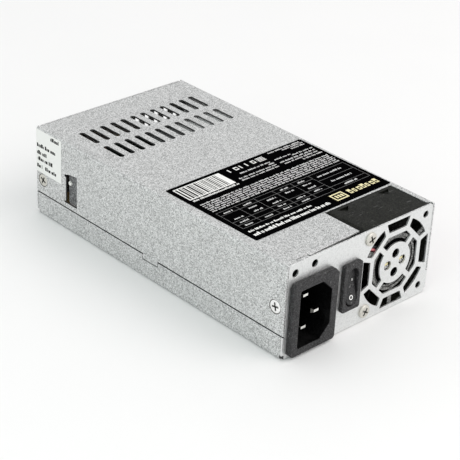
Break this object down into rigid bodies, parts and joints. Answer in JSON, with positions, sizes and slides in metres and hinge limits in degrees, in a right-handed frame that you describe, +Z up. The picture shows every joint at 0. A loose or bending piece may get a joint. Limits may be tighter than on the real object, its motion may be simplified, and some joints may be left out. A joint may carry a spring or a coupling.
{
  "type": "power supply unit",
  "caption": "Slim metal-cased power supply unit with a mains inlet, rocker switch and fan grille on its rear panel, air slots in the cover and a cable outlet at the far end.",
  "frame": {"origin": "centre of the case's underside", "axes": "+X across the width, from the inlet's side to the fan's side; +Y along the length, from the rear panel to the cable end; +Z up"},
  "size_m": [0.0817, 0.1526, 0.0406],
  "materials": {
    "steel": "galvanised sheet steel, fine grain",
    "screw_metal": "nickel plated",
    "brass": "satin",
    "nickel": "bright plated",
    "black_plastic": "fine moulded texture",
    "fan_plastic": "satin moulded",
    "white_plastic": "satin",
    "sheet_plastic": "satin sheet",
    "circuit_board": "phenolic laminate",
    "aluminium": "as rolled",
    "ferrite": "sintered",
    "tape": "polyester tape",
    "copper": "enamelled wire",
    "toroid": "powder coated core with enamelled wire",
    "sleeve": "heat-shrink sleeve",
    "epoxy": "moulded epoxy",
    "ceramic": "glazed",
    "label_black": "printed film",
    "label_white": "printed paper",
    "wire_red": "PVC",
    "wire_black": "PVC",
    "wire_blue": "PVC",
    "wire_green": "PVC"
  },
  "bodies": {
    "case": {"bottom_tray": "steel", "top_cover": "steel", "cover_screw_1": "screw_metal", "cover_screw_2": "screw_metal", "cover_screw_3": "screw_metal", "cover_screw_4": "screw_metal", "fan_screw_1": "screw_metal", "fan_screw_2": "screw_metal", "board_screw_1": "screw_metal", "board_screw_2": "screw_metal", "board_screw_3": "screw_metal", "board_screw_4": "screw_metal", "earth_screw": "screw_metal", "fan_frame": "fan_plastic", "fan_stator": "ferrite", "transformer_core": "ferrite", "inlet_pin_line": "nickel", "inlet_pin_neutral": "nickel", "inlet_pin_earth": "nickel", "fan_bearing": "brass", "switch_terminal_1": "brass", "switch_terminal_2": "brass", "fan_circuit_board": "circuit_board", "main_board": "circuit_board", "control_board": "circuit_board", "output_board": "circuit_board", "fan_hub_label": "label_black", "rating_label": "label_black", "side_label": "label_white", "inlet_body": "black_plastic", "switch_body": "black_plastic", "cable_bushing": "black_plastic", "line_lead": "wire_black", "switched_lead": "wire_black", "fan_lead_black": "wire_black", "neutral_lead": "wire_blue", "earth_lead": "wire_green", "fan_lead_red": "wire_red", "insulator_sheet": "sheet_plastic", "sheet_rivet": "white_plastic", "fan_socket": "white_plastic", "fuse": "ceramic", "x_capacitor": "tape", "boost_inductor": "tape", "transformer_winding": "tape", "standby_transformer": "tape", "filter_choke": "copper", "output_inductor": "toroid", "bridge_rectifier": "epoxy", "primary_transistor": "epoxy", "output_rectifier": "epoxy", "bulk_capacitor": "sleeve", "output_capacitor_1": "sleeve", "output_capacitor_2": "sleeve", "primary_heatsink": "aluminium", "secondary_heatsink": "aluminium"},
    "impeller": {"fan_rotor": "fan_plastic", "fan_magnet_ring": "ferrite", "fan_shaft": "nickel"},
    "rocker": {"switch_rocker": "black_plastic"}
  },
  "joints": [
    {"name": "fan_spin", "type": "hinge", "parent": "case", "child": "impeller", "pos_m": [0.01985, -0.065, 0.0206], "axis": [0, 1, 0], "continuous": true},
    {"name": "rocker_tilt", "type": "hinge", "parent": "case", "child": "rocker", "pos_m": [-0.00615, -0.0735, 0.01975], "axis": [1, 0, 0], "range_deg": [0, 18]}
  ]
}
